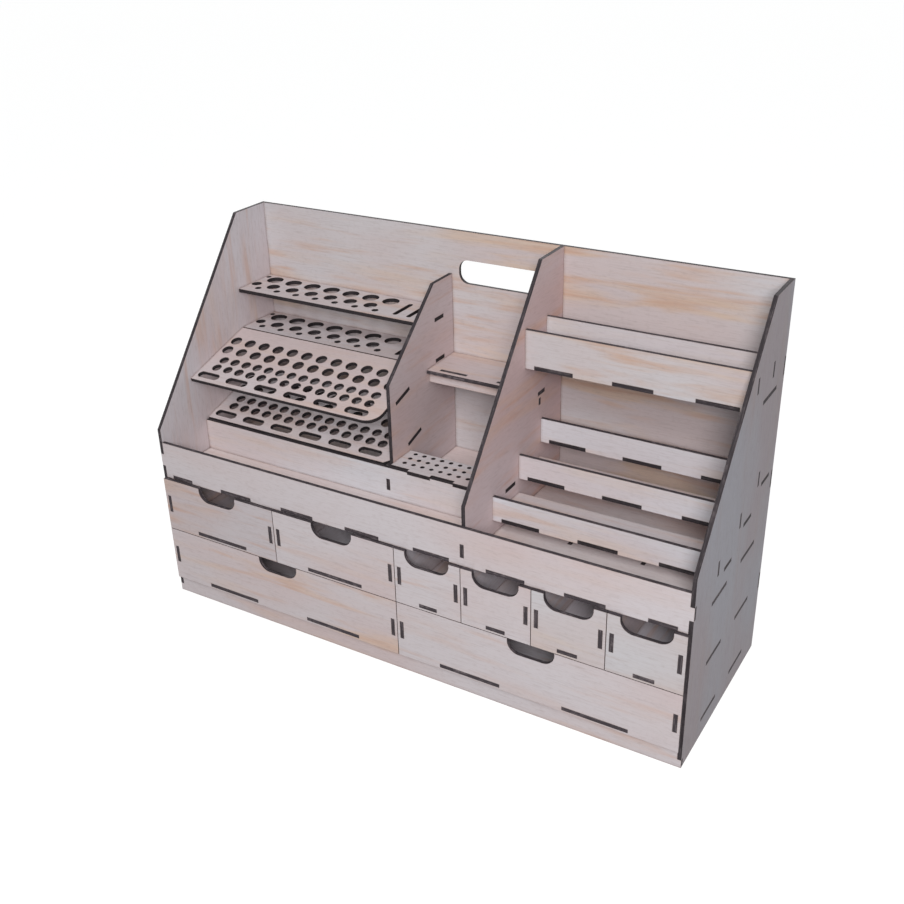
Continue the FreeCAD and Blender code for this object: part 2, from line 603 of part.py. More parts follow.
back = add_sheet("back_panel", "XZ", BACK, flat("XZ", ((f"-{IN}", IN), ("0", "0"), ("0", "height"))))
GRIP_X = centred(PLIERS_MIDDLE, "grip_width")
GRIP_Z = ("height - grip_drop - grip_height", "height - grip_drop")
grip = flat("XZ", (GRIP_X, ("0", "0"), GRIP_Z))
add_pocket(back, add_loops(back, "XZ", "grip_lines", [grip]), "grip")
dress_corners(back, "XZ", "Fillet", "grip_corners", "grip_round", grip)

for name, level in (("bottom_board", "plinth"), ("middle_board", MIDDLE_Z)):
    add_sheet(name, "XY", level, flat("XY", ((f"-{IN}", IN), ("0", BACK))))
add_sheet("top_board", "XY", TOP_Z, flat("XY", ((f"-{IN}", IN), ("ply", BACK))))
add_sheet("fascia", "XZ", "0", flat("XZ", ((f"-{IN}", IN), FRONT_WALL, (TOP_Z, RIM_Z))))
add_sheet("plinth_rail", "XZ", "0", flat("XZ", ((f"-{IN}", IN), FRONT_WALL, ("0", "plinth"))))
for name, middle in UPPER_DIVIDERS.items():
    outline = flat("YZ", (("0", "0"), ("0", BACK), (f"{MIDDLE_Z} + ply", TOP_Z)))
    add_sheet(name, "YZ", f"{middle} - ply / 2", outline)
join_solids("upper_dividers", list(UPPER_DIVIDERS))
add_sheet("lower_divider", "YZ", "-ply / 2", flat("YZ", (("0", "0"), ("0", BACK), ("plinth + ply", MIDDLE_Z))))

add_sheet("riser", "XZ", "riser_y", flat("XZ", ((f"-{IN}", TALL_LEFT), RISER_Y, (TRAY_Z, RIM_Z))))
for name, (front_y, front_z) in TOOL_DECKS.items():
    add_tool_deck(name, front_y, front_z)
for name, level in TOOL_SHELVES.items():
    add_tool_shelf(name, level)

PLIERS_BAY = (SHORT_RIGHT, TALL_LEFT)
pliers_deck = add_sheet("pliers_deck", "XY", PLIERS_Z[0],
                        flat("XY", (PLIERS_BAY, ("riser_y + ply", "riser_y + ply + pliers_depth"))))
grid = add_sketch(pliers_deck, "XY", "grid_lines")
for step in (0, 1, 2):
    centre = (f"{SHORT_RIGHT} + grid_margin", f"riser_y + ply + grid_margin + {step} * grid_pitch")
    add_hole(grid, centre, "grid_hole", sides=6)
grid_cut = add_pocket(pliers_deck, grid, "grid_column")
add_pattern(pliers_deck, grid_cut, "grid", "grid_pitch",
            f"floor(({TALL_LEFT} - {SHORT_RIGHT} - 2 * grid_margin + grid_pitch / 2) / grid_pitch) + 1")
add_sheet("pliers_ledge", "XY", "ledge_z", flat("XY", (PLIERS_BAY, ("ledge_y", BACK))))
add_sheet("ledge_rail", "XZ", "ledge_y + ledge_setback",
          flat("XZ", (PLIERS_BAY, RAIL_Y, ("ledge_z - rail_height", "ledge_z"))))

PAINT_BAY = (TALL_RIGHT, IN)
for name, (front, rear, level, tab, lip) in PAINT_SHELVES.items():
    add_sheet(name, "XY", level, flat("XY", (PAINT_BAY, (front, rear))))
for name, (front, low, high) in LIPS.items():
    add_sheet(name, "XZ", front, flat("XZ", (PAINT_BAY, ("0", "0"), (low, high))))
join_solids("step_lips", ["step_lip_1", "step_lip_2", "step_lip_3"])


# ---------------------------------------------------------------- drawers
def add_drawer(name, left, right, floor_z, front_top, floor_tabs):
    """Open box with an overlay front; left, right and floor_z bound the opening that it runs in."""
    front, rear, floor = f"{name}_front", f"{name}_back", f"{name}_bottom"
    sides = [f"{name}_side_left", f"{name}_side_right"]
    low = f"({floor_z} + box_lift)"
    high = f"({floor_z} + box_lift + box_height)"
    outer = [f"({left} + box_gap)", f"({right} - box_gap - ply)"]
    inner = (f"{outer[0]} + ply", outer[1])
    seat = "-front_seat"
    front_wall = (f"{seat} - ply", seat)
    back_wall = ("box_depth - ply", "box_depth")
    tab_z = centred(f"({low} + {high}) / 2", "box_tab")
    for side, face in zip(sides, outer):
        joint(side, front, above(face), front_wall, tab_z)
        joint(rear, side, above(face), back_wall, tab_z)
        joint(floor, side, above(face), centred("box_depth / 2", "floor_tab"), above(low))
    for middle, length in floor_tabs:
        across = centred(f"({left} + {right}) / 2 + {middle}", length)
        joint(floor, front, across, front_wall, above(low))
        joint(floor, rear, across, back_wall, above(low))

    front_x = (f"{left} - ply / 2 + front_gap / 2", f"{right} + ply / 2 - front_gap / 2")
    front_z = (f"{floor_z} - ply / 2 + front_gap / 2", front_top)
    body = add_sheet(front, "XZ", front_wall[0], flat("XZ", (front_x, front_wall, front_z)))
    pull_x = centred(f"({left} + {right}) / 2", "pull_width")
    pull = flat("XZ", (pull_x, front_wall, (f"{front_top} - pull_depth", f"{front_top} + ply")))
    add_pocket(body, add_loops(body, "XZ", f"{name}_pull_lines", [pull]), f"{name}_pull")
    dress_corners(body, "XZ", "Fillet", f"{name}_pull_corners", "pull_round", pull[:2])
    for side, face in zip(sides, outer):
        add_sheet(side, "YZ", face, flat("YZ", (("0", "0"), (seat, "box_depth"), (low, high))))
    join_solids(f"{name}_sides", sides)
    add_sheet(rear, "XZ", back_wall[0], flat("XZ", (inner, back_wall, (low, high))))
    add_sheet(floor, "XY", low, flat("XY", (inner, (seat, back_wall[0]))))


def opening(start, end):
    """Clear range between two dividers, or a divider and a side panel, in steps of the small column."""
    return f"({start} * {COLUMN} + ply / 2)", f"({end} * {COLUMN} - ply / 2)"


UPPER_TOP = f"{TOP_Z} - front_gap / 2"
LOWER_TOP = f"{MIDDLE_Z} + ply / 2 - front_gap / 2"
LARGE_TABS = [("0", "large_tab")]
SMALL_TABS = [("0", "small_tab")]
WIDE_TABS = [("-large_tab_pitch / 2", "large_tab"), ("large_tab_pitch / 2", "large_tab")]
upper_floor = f"({MIDDLE_Z} + ply)"
upper_columns = [(-4, -2), (-2, 0), (0, 1), (1, 2), (2, 3), (3, 4)]
for order, (start, end) in enumerate(upper_columns, start=1):
    floor_tabs = LARGE_TABS if end - start == 2 else SMALL_TABS
    add_drawer(f"drawer_{order}", *opening(start, end), upper_floor, UPPER_TOP, floor_tabs)
for order, (start, end) in enumerate([(-4, 0), (0, 4)], start=7):
    add_drawer(f"drawer_{order}", *opening(start, end), "(plinth + ply)", LOWER_TOP, WIDE_TABS)


# ---------------------------------------------------------------- checks and export
doc.recompute()
for thing in doc.Objects:
    if "Invalid" in thing.State or "Error" in thing.State:
        raise RuntimeError(f"{thing.Label} did not recompute: {thing.State}")
    if thing.isDerivedFrom("PartDesign::Pocket") and thing.Shape.Volume >= thing.BaseFeature.Shape.Volume:
        raise RuntimeError(f"{thing.Label} removes nothing")
for name, node in nodes.items():
    if node.Shape.isNull() or not node.Shape.isValid():
        raise RuntimeError(f"{name} has no valid shape")

os.makedirs("parts", exist_ok=True)
for name, node in nodes.items():
    node.Shape.exportStep(f"parts/{name}.step")
print(len(nodes), "nodes written")
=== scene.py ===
# %% [markdown]
# # Plywood hobby organizer
# The organizer is a flat-pack kit: 3 mm plywood sheets, cut by a laser, that lock together with
# tabs and slots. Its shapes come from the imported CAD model, which stays exactly as it is. This
# lesson gives every sheet its wood and its burnt edges, re-makes the perforated sheets with truly
# round holes, and sets up the camera and the light.

import math

import bmesh
import bpy
from mathutils import Matrix, Vector


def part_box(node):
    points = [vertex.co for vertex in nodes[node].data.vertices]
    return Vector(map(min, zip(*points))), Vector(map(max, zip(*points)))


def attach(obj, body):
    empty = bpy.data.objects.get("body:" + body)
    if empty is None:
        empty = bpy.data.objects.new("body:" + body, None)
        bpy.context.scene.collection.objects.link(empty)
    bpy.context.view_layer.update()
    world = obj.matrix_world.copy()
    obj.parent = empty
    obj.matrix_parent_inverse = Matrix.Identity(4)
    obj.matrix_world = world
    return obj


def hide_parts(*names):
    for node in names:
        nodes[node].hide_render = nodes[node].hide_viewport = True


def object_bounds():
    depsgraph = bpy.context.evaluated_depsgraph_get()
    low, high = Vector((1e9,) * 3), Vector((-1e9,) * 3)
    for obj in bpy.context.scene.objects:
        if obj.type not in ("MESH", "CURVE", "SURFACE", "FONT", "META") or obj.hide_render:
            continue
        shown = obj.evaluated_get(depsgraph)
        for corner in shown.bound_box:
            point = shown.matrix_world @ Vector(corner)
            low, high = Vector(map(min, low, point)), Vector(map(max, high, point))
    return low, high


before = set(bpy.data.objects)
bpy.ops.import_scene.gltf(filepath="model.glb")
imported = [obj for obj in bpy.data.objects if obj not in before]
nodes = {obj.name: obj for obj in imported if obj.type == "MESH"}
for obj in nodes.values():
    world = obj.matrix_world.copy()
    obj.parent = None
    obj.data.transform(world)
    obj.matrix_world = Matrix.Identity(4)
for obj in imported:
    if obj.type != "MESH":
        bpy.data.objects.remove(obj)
cad_low, cad_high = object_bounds()
cad_size = [round(high - low, 4) for low, high in zip(cad_low, cad_high)]
print("sheets:", len(nodes), "size:", cad_size)

# %% [markdown]
# ## Camera
# The camera looks down on the front right corner. A camera's own axes are the columns of its
# matrix: right, up, and back towards the viewer. They come from three angles: the turn round the
# object, the height above it, and a slight roll, as from a camera held in the hand.

# %% Camera
CAMERA_PLACE = Vector((0.40147, -0.65524, 0.54734))
CAMERA_TURN = math.radians(31.265)
CAMERA_HEIGHT = math.radians(27.216)
CAMERA_ROLL = math.radians(-1.482)
FOCAL_LENGTH = 45.28
SENSOR_WIDTH = 36


def camera_matrix(place, turn, height, roll):
    """Matrix of a camera that looks from a turn and a height, rolled about its view."""
    out = math.cos(height)
    back = Vector((math.sin(turn) * out, -math.cos(turn) * out, math.sin(height)))
    level = Vector((0, 0, 1)).cross(back).normalized()
    rise = back.cross(level)
    right = level * math.cos(roll) + rise * math.sin(roll)
    up = rise * math.cos(roll) - level * math.sin(roll)
    matrix = Matrix((right, up, back)).transposed().to_4x4()
    matrix.translation = place
    return matrix


camera_data = bpy.data.cameras.new("camera")
camera_data.lens = FOCAL_LENGTH
camera_data.sensor_width = SENSOR_WIDTH
camera = bpy.data.objects.new("camera", camera_data)
bpy.context.scene.collection.objects.link(camera)
camera.matrix_world = camera_matrix(CAMERA_PLACE, CAMERA_TURN, CAMERA_HEIGHT, CAMERA_ROLL)
bpy.context.scene.camera = camera
print("camera at", [round(value, 3) for value in camera.location])

# %% [markdown]
# ## Shader helpers
# Materials in Blender are small networks of nodes. Two short helpers keep the networks readable:
# one adds a node with its settings, one links an output to an input. Colours are written as the
# screen shows them, from 0 to 255, and turned into the linear light values that shaders use.

# %% Node helpers
def add_node(tree, kind, **settings):
    node = tree.nodes.new(kind)
    for name, setting in settings.items():
        setattr(node, name, setting)
    return node


def put(tree, source, target):
    """Link an output socket, or set a plain value, on an input socket."""
    if isinstance(source, bpy.types.NodeSocket):
        tree.links.new(source, target)
    else:
        target.default_value = source


def math_node(tree, operation, a, b=0.0, c=0.0, clamp=False):
    node = add_node(tree, "ShaderNodeMath", operation=operation, use_clamp=clamp)
    for socket, source in zip(node.inputs, (a, b, c)):
        put(tree, source, socket)
    return node.outputs[0]


def mix_colour(tree, factor, a, b, blend="MIX"):
    node = add_node(tree, "ShaderNodeMix", data_type="RGBA", blend_type=blend)
    put(tree, factor, node.inputs["Factor"])
    put(tree, a, node.inputs["A"])
    put(tree, b, node.inputs["B"])
    return node.outputs["Result"]


def ramp(tree, factor, low, high):
    """Smooth step of a value between two limits."""
    node = add_node(tree, "ShaderNodeMapRange", interpolation_type="SMOOTHSTEP")
    put(tree, factor, node.inputs["Value"])
    node.inputs["From Min"].default_value = low
    node.inputs["From Max"].default_value = high
    return node.outputs["Result"]


def srgb(red, green, blue):
    """Linear colour from the 0 to 255 values that a screen shows."""
    channels = [value / 255 for value in (red, green, blue)]
    linear = [c / 12.92 if c <= 0.04045 else ((c + 0.055) / 1.055) ** 2.4 for c in channels]
    return (*linear, 1.0)


def stretched_noise(tree, vector, stretch, scale, detail=3.0, rough=0.5, distortion=0.0):
    """Noise squeezed or drawn out along the sheet's own axes."""
    mapping = add_node(tree, "ShaderNodeMapping")
    put(tree, vector, mapping.inputs["Vector"])
    mapping.inputs["Scale"].default_value = stretch
    noise = add_node(tree, "ShaderNodeTexNoise")
    put(tree, mapping.outputs[0], noise.inputs["Vector"])
    noise.inputs["Scale"].default_value = scale
    noise.inputs["Detail"].default_value = detail
    noise.inputs["Roughness"].default_value = rough
    noise.inputs["Distortion"].default_value = distortion
    return noise.outputs["Fac"]


def new_group(name, inputs, outputs):
    """Empty node group with its sockets; returns the tree, its input node and its output node."""
    tree = bpy.data.node_groups.new(name, "ShaderNodeTree")
    for label, kind, default in inputs:
        socket = tree.interface.new_socket(label, in_out="INPUT", socket_type=kind)
        socket.default_value = default
    for label, kind in outputs:
        tree.interface.new_socket(label, in_out="OUTPUT", socket_type=kind)
    return tree, tree.nodes.new("NodeGroupInput"), tree.nodes.new("NodeGroupOutput")


# %% [markdown]
# ## The face of the plywood
# The outer veneer is peeled from a log in one long turn, so its figure is a slow, wandering grain
# rather than straight stripes. Five layers of noise make it. Large clouds are pale or pinkish, a
# broad figure drawn out along the grain turns some places warm, and narrower streaks turn parts of
# those brown. Fine fibres a fraction of a millimetre wide and a faint mottle darken it a little.
# Each noise is given as its stretch, scale, detail, roughness and distortion, and each pair of
# limits says between which noise values its layer fades in. The group expects X along the grain
# and gives out a colour, a roughness and a height.

# %% Group for the veneer
VENEER_PALE = srgb(197, 191, 194)
VENEER_PINK = srgb(194, 179, 179)
VENEER_WARM = srgb(201, 176, 159)
VENEER_STREAK = srgb(192, 158, 140)
VENEER_FIBRE = srgb(150, 132, 128)
CLOUD_NOISE = ((0.5, 1, 1), 11, 2)
FIGURE_NOISE = ((0.11, 1, 1), 60, 3, 0.6, 0.5)
STREAK_NOISE = ((0.09, 1, 1), 135, 3, 0.5, 0.25)
FIBRE_NOISE = ((0.06, 1, 1), 1100, 2, 0.7)
MOTTLE_NOISE = ((0.6, 1, 1), 420, 2)
PINK_LIMITS = (0.35, 0.65)
WARM_LIMITS = (0.47, 0.68)
WARM_CLOUD_LIMITS = (0.38, 0.6)
STREAK_LIMITS = (0.48, 0.72)
STREAK_FIGURE_LIMITS = (0.4, 0.6)
FIBRE_LIMITS = (0.45, 0.8)
MOTTLE_LIMITS = (0.5, 0.8)
FIBRE_SHARE = 0.3
MOTTLE_SHARE = 0.16
FACE_ROUGHNESS = (0.14, 0.56)
STREAK_HEIGHT = 0.5


def product(tree, a, b, **settings):
    """Product of two values between 0 and 1."""
    return math_node(tree, "MULTIPLY", a, b, **settings)


veneer, veneer_in, veneer_out = new_group(
    "veneer",
    [("Grain", "NodeSocketVector", (0, 0, 0)), ("Warmth", "NodeSocketFloat", 0.5),
     ("Tint", "NodeSocketColor", (1, 1, 1, 1))],
    [("Color", "NodeSocketColor"), ("Roughness", "NodeSocketFloat"), ("Height", "NodeSocketFloat")])
grain = veneer_in.outputs["Grain"]
warmth = veneer_in.outputs["Warmth"]
clouds = stretched_noise(veneer, grain, *CLOUD_NOISE)
figure = stretched_noise(veneer, grain, *FIGURE_NOISE)
streak = stretched_noise(veneer, grain, *STREAK_NOISE)
fibre = stretched_noise(veneer, grain, *FIBRE_NOISE)
mottle = stretched_noise(veneer, grain, *MOTTLE_NOISE)
base = mix_colour(veneer, ramp(veneer, clouds, *PINK_LIMITS), VENEER_PALE, VENEER_PINK)
warm_places = product(veneer, ramp(veneer, figure, *WARM_LIMITS),
                      ramp(veneer, clouds, *WARM_CLOUD_LIMITS))
warmed = mix_colour(veneer, product(veneer, warm_places, warmth), base, VENEER_WARM)
streak_places = product(veneer, ramp(veneer, streak, *STREAK_LIMITS),
                        ramp(veneer, figure, *STREAK_FIGURE_LIMITS))
streaked = mix_colour(veneer, product(veneer, streak_places, warmth), warmed, VENEER_STREAK)
fine_amount = product(veneer, ramp(veneer, fibre, *FIBRE_LIMITS), FIBRE_SHARE)
fine = mix_colour(veneer, fine_amount, streaked, VENEER_FIBRE)
speckle_amount = product(veneer, ramp(veneer, mottle, *MOTTLE_LIMITS), MOTTLE_SHARE)
speckled = mix_colour(veneer, speckle_amount, fine, VENEER_FIBRE)
tinted = mix_colour(veneer, 1.0, speckled, veneer_in.outputs["Tint"], "MULTIPLY")
put(veneer, tinted, veneer_out.inputs["Color"])
put(veneer, math_node(veneer, "MULTIPLY_ADD", fibre, *FACE_ROUGHNESS),
    veneer_out.inputs["Roughness"])
put(veneer, math_node(veneer, "MULTIPLY_ADD", streak, STREAK_HEIGHT, fibre),
    veneer_out.inputs["Height"])
print("veneer group:", len(veneer.nodes), "nodes")

# %% [markdown]
# ## The laser's marks and the painted corner shade
# A laser burns its way through the sheet, so every cut edge is charred almost black, with the
# three plies just showing as bands, and a faint brown line of smoke runs on the face beside each
# cut. A face belongs to a cut edge when its normal lies across the sheet's own normal. The smoke
# line uses the Bevel node, which bends the normal close to an edge and so shows where edges are.
# Char says how far a sheet's edges go to black, and Smoke how strong the smoke line is.
# A painted shade, brown, also darkens the corners where one sheet meets another, and the Ambient
# Occlusion node, kept to a very short reach, finds those corners.

# %% Group for the burnt edges and the painted corner shade
CHAR_DARK = srgb(54, 48, 52)
CHAR_BROWN = srgb(112, 103, 106)
CHAR_BLACK = srgb(20, 16, 18)
SMOKE = srgb(120, 92, 74)
SMOKE_REACH = 0.0009
SHADER_SAMPLES = 4
SMOKE_USUAL = 0.75
SMOKE_LIMITS = (0.0, 0.3)
SMOKE_PATCH_LIMITS = (0.2, 0.7)
# Painted shade: brown for the corners where sheets meet, found by Ambient Occlusion.
PAINTED_CORNER_SHADE = srgb(112, 84, 74)
CORNER_REACH = 0.0022
CORNER_LIMITS = (0.35, 0.95)
CORNER_PATCH_LIMITS = (0.05, 0.6)
CORNER_SHADE_SHARE = 0.6
EDGE_ALIGNMENT = 0.6
PATCH_NOISE = ((1, 1, 1), 70, 2)
PLY_NOISE = ((0.06, 0.06, 1), 1100, 1)
SOOT_NOISE = ((1, 1, 1), 260, 3)
PLY_LIMITS = (0.42, 0.7)
SOOT_LIMITS = (0.3, 0.75)
EDGE_ROUGHNESS = (0.2, 0.7)
EDGE_HEIGHT = 1.5

burn, burn_in, burn_out = new_group(
    "laser_burn_and_corner_shade",
    [("Grain", "NodeSocketVector", (0, 0, 0)), ("Sheet Normal", "NodeSocketVector", (0, 0, 1)),
     ("Face Color", "NodeSocketColor", (1, 1, 1, 1)), ("Face Roughness", "NodeSocketFloat", 0.6),
     ("Face Height", "NodeSocketFloat", 0.0), ("Char", "NodeSocketFloat", 0.0),
     ("Smoke", "NodeSocketFloat", SMOKE_USUAL)],
    [("Color", "NodeSocketColor"), ("Roughness", "NodeSocketFloat"), ("Height", "NodeSocketFloat")])


def alignment(tree, normal, axis):
    """How nearly a normal lies along an axis, from 0 across it to 1 along it."""
    dot = add_node(tree, "ShaderNodeVectorMath", operation="DOT_PRODUCT")
    put(tree, normal, dot.inputs[0])
    put(tree, axis, dot.inputs[1])
    return math_node(tree, "ABSOLUTE", dot.outputs["Value"])


geometry = add_node(burn, "ShaderNodeNewGeometry")
burn_grain = burn_in.outputs["Grain"]
sheet_normal = burn_in.outputs["Sheet Normal"]
facing = alignment(burn, geometry.outputs["True Normal"], sheet_normal)
on_edge = math_node(burn, "LESS_THAN", facing, EDGE_ALIGNMENT)
softened = add_node(burn, "ShaderNodeBevel", samples=SHADER_SAMPLES)
softened.inputs["Radius"].default_value = SMOKE_REACH
bent = alignment(burn, softened.outputs[0], sheet_normal)
near_cut = math_node(burn, "SUBTRACT", 1.0, bent, clamp=True)
patchy = stretched_noise(burn, burn_grain, *PATCH_NOISE)
smoke_amount = product(burn, ramp(burn, near_cut, *SMOKE_LIMITS),
                       ramp(burn, patchy, *SMOKE_PATCH_LIMITS))
smoke_here = product(burn, smoke_amount, burn_in.outputs["Smoke"], clamp=True)
smoked = mix_colour(burn, smoke_here, burn_in.outputs["Face Color"], SMOKE)
# Painted shade: corners that the Ambient Occlusion node finds are mixed towards brown.
corner = add_node(burn, "ShaderNodeAmbientOcclusion", samples=SHADER_SAMPLES)
corner.inputs["Distance"].default_value = CORNER_REACH
in_corner = math_node(burn, "SUBTRACT", 1.0, ramp(burn, corner.outputs["AO"], *CORNER_LIMITS))
corner_shade_amount = product(burn, in_corner, ramp(burn, patchy, *CORNER_PATCH_LIMITS))
smoked = mix_colour(burn, product(burn, corner_shade_amount, CORNER_SHADE_SHARE), smoked, PAINTED_CORNER_SHADE)
plies = stretched_noise(burn, burn_grain, *PLY_NOISE)
soot = stretched_noise(burn, burn_grain, *SOOT_NOISE)
char_amount = product(burn, ramp(burn, plies, *PLY_LIMITS), ramp(burn, soot, *SOOT_LIMITS))
charred = mix_colour(burn, char_amount, CHAR_DARK, CHAR_BROWN)
charred = mix_colour(burn, burn_in.outputs["Char"], charred, CHAR_BLACK)
put(burn, mix_colour(burn, on_edge, smoked, charred), burn_out.inputs["Color"])
edge_rough = math_node(burn, "MULTIPLY_ADD", soot, *EDGE_ROUGHNESS)
rough_mix = add_node(burn, "ShaderNodeMix", data_type="FLOAT")
put(burn, on_edge, rough_mix.inputs["Factor"])
put(burn, burn_in.outputs["Face Roughness"], rough_mix.inputs["A"])
put(burn, edge_rough, rough_mix.inputs["B"])
put(burn, rough_mix.outputs["Result"], burn_out.inputs["Roughness"])
edge_soot = product(burn, on_edge, soot)
put(burn, math_node(burn, "MULTIPLY_ADD", edge_soot, EDGE_HEIGHT, burn_in.outputs["Face Height"]),
    burn_out.inputs["Height"])
print("laser burn group:", len(burn.nodes), "nodes")

# %% [markdown]
# ## One plywood for every direction
# The same board is never seen twice. A function makes the plywood for one sheet from two
# directions: the grain, which runs along the sheet's length, and the sheet's own normal. They turn
# the pattern so that X follows the grain and Z goes through the sheet, and an offset slides the
# pattern to a place of its own.

# %% Plywood material
BUMP_STRENGTH = 0.25
BUMP_DISTANCE = 0.0002
PLYWOOD_SPECULAR = 0.3


def plywood(name, grain_axis, sheet_axis, offset, warmth, tone_and_painted_light, char, smoke):
    """Plywood for a sheet with a given grain direction and normal."""
    along, through = Vector(grain_axis), Vector(sheet_axis)
    turned = Matrix((along, through.cross(along), through)).to_euler()
    material = bpy.data.materials.new(name)
    material.use_nodes = True
    tree = material.node_tree
    shader = tree.nodes["Principled BSDF"]
    mapping = add_node(tree, "ShaderNodeMapping")
    put(tree, add_node(tree, "ShaderNodeTexCoord").outputs["Object"], mapping.inputs["Vector"])
    mapping.inputs["Location"].default_value = offset
    mapping.inputs["Rotation"].default_value = turned
    face = add_node(tree, "ShaderNodeGroup", node_tree=veneer)
    put(tree, mapping.outputs[0], face.inputs["Grain"])
    face.inputs["Warmth"].default_value = warmth
    face.inputs["Tint"].default_value = tone_and_painted_light
    marks = add_node(tree, "ShaderNodeGroup", node_tree=burn)
    put(tree, mapping.outputs[0], marks.inputs["Grain"])
    marks.inputs["Sheet Normal"].default_value = through
    marks.inputs["Char"].default_value = char
    marks.inputs["Smoke"].default_value = smoke
    for label in ("Color", "Roughness", "Height"):
        put(tree, face.outputs[label], marks.inputs["Face " + label])
    bump = add_node(tree, "ShaderNodeBump")
    bump.inputs["Strength"].default_value = BUMP_STRENGTH
    bump.inputs["Distance"].default_value = BUMP_DISTANCE
    put(tree, marks.outputs["Height"], bump.inputs["Height"])
    put(tree, marks.outputs["Color"], shader.inputs["Base Color"])
    put(tree, marks.outputs["Roughness"], shader.inputs["Roughness"])
    put(tree, bump.outputs[0], shader.inputs["Normal"])
    shader.inputs["Specular IOR Level"].default_value = PLYWOOD_SPECULAR
    return material


def wear(piece, material):
    """Give a piece one material in every slot."""
    slots = piece.data.materials
    for index in range(len(slots)):
        slots[index] = material
    if not len(slots):
        slots.append(material)


# %% [markdown]
# ## Which sheet lies which way
# A sheet is thinnest along its normal and longest along its grain, and its box shows both. A node
# that holds several sheets is thin along a direction that is named here instead, and the two tool
# decks are tilted. Every sheet slides the pattern by an uneven step of its own. A kit is cut from
# several boards, so the tables below give some sheets a warmth or a darker edge of their own, and a
# few drawer fronts a tone of their own. Most tints are painted light and shade, though: the right
# side panel is darkened and greyed as painted shade, the inner faces of the left panel and the tall
# divider, the tray floor, the riser and the step boards are lightened or pinked as painted bounce
# light, and the short divider and the front of the high lip are darkened as painted shade.

# %% Give every sheet its plywood
DECK_TILT = math.radians(16.66)
DECK_NORMAL = (0, -math.sin(DECK_TILT), math.cos(DECK_TILT))
TILTED = ("upper_tool_deck", "lower_tool_deck")
SEVERAL_SHEETS = {"upper_dividers": 0, "step_lips": 1}
PATTERN_STEP = Vector((0.37, 0.23, 0.11))
AXES = ((1, 0, 0), (0, 1, 0), (0, 0, 1))
GRAIN_ALONG = {"tall_divider": 1, "short_divider": 1}
PERFORATED = TILTED + ("tool_shelf_low", "tool_shelf_high", "pliers_deck")
PERFORATED_SMOKE = 1.4
PERFORATED_CHAR = 0.75
CHARS = {
    "back_panel": 0.5, "side_panel_left": 0.35, "side_panel_right": 0.45, "riser": 0.5,
    "tall_divider": 0.35, "short_divider": 0.35,
    "paint_shelf_1": 0.4, "paint_shelf_2": 0.6, "paint_shelf_3": 0.6, "paint_shelf_4": 0.6,
}
CHARS.update({name: PERFORATED_CHAR for name in PERFORATED})
# Most of these tints are painted light and painted shade; the drawer fronts' are a board's own
# tone.
PAINTED_LIGHT_AND_TONES = {
    "side_panel_right": (0.63, 0.67, 0.72, 1), "side_panel_left": (1.08, 1.1, 1.12, 1),
    "tall_divider": (1.05, 0.95, 0.95, 1), "short_divider": (0.96, 0.9, 0.9, 1),
    "back_panel": (0.96, 1.0, 1.0, 1), "top_board": (1.22, 1.2, 1.17, 1),
    "riser": (1.08, 1.15, 1.17, 1), "lip_high_front": (0.93, 0.97, 0.97, 1),
    "lip_high_back": (1.03, 1.14, 1.18, 1), "drawer_1_front": (0.9, 0.88, 0.88, 1),
    "drawer_5_front": (0.97, 1.04, 1.05, 1), "drawer_6_front": (0.93, 0.97, 0.97, 1),
    "step_lips": (1.03, 1.1, 1.13, 1),
}
DRAWER_PARTS = ("_back", "_bottom", "_sides")
# Painted light: the insides of the drawers are lightened and cooled like the shade seen through the
# pulls.
DRAWER_INSIDE_PAINTED_LIGHT = (1.06, 1.08, 1.12, 1)
NO_TINT = (1, 1, 1, 1)
WARMTH_USUAL = 0.5
WARMTHS = {
    "back_panel": 0.9, "lip_high_front": 0.9, "lip_high_back": 0.4, "step_lips": 0.5,
    "fascia": 0.12, "side_panel_right": 0.15, "side_panel_left": 0.5, "tall_divider": 0.6,
    "short_divider": 0.6, "drawer_1_front": 0.85, "drawer_2_front": 0.35, "drawer_3_front": 0.5,
    "drawer_4_front": 0.3, "drawer_5_front": 0.3, "drawer_6_front": 0.2, "drawer_7_front": 0.8,
    "drawer_8_front": 0.3, "riser": 0.3, "top_board": 0.3, "upper_tool_deck": 0.3,
    "lower_tool_deck": 0.3,
}


def sheet_axes(name):
    """Grain direction and normal of a sheet."""
    if name in TILTED:
        return AXES[0], DECK_NORMAL
    low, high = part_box(name)
    spans = [high[axis] - low[axis] for axis in range(3)]
    thin = 0 if name.endswith("_sides") else SEVERAL_SHEETS.get(name, spans.index(min(spans)))
    long = max((axis for axis in range(3) if axis != thin), key=lambda axis: spans[axis])
    return AXES[GRAIN_ALONG.get(name, long)], AXES[thin]


plywoods = {}
for order, name in enumerate(sorted(nodes)):
    in_drawer = name.startswith("drawer_") and name.endswith(DRAWER_PARTS)
    plywoods[name] = plywood(
        "ply_" + name, *sheet_axes(name), PATTERN_STEP * order,
        warmth=WARMTHS.get(name, WARMTH_USUAL),
        tone_and_painted_light=PAINTED_LIGHT_AND_TONES.get(name, DRAWER_INSIDE_PAINTED_LIGHT if in_drawer else NO_TINT),
        char=CHARS.get(name, 0.0),
        smoke=PERFORATED_SMOKE if name in PERFORATED else SMOKE_USUAL)
    wear(nodes[name], plywoods[name])
print("sheets with plywood:", len(plywoods))

# %% [markdown]
# ## Perforated sheets
# The racks for small tools are sheets full of holes. In the CAD model the holes have a few flat
# sides, so these five sheets are made again here with round ones. Each sheet starts as a board
# of the right size. The board is cut across where a tab begins and ends, and the face between the
# cuts is pulled out, as when a drawing's outline gets its tabs. Every hole is then drilled by a
# cylinder of the hole's size with the Boolean modifier, as a laser would cut it, straight through.
# Measures are in millimetres from here on, with Y counted from the side panels' front edge. Only
# the two tolerances, which pick out corners and faces, are in metres.

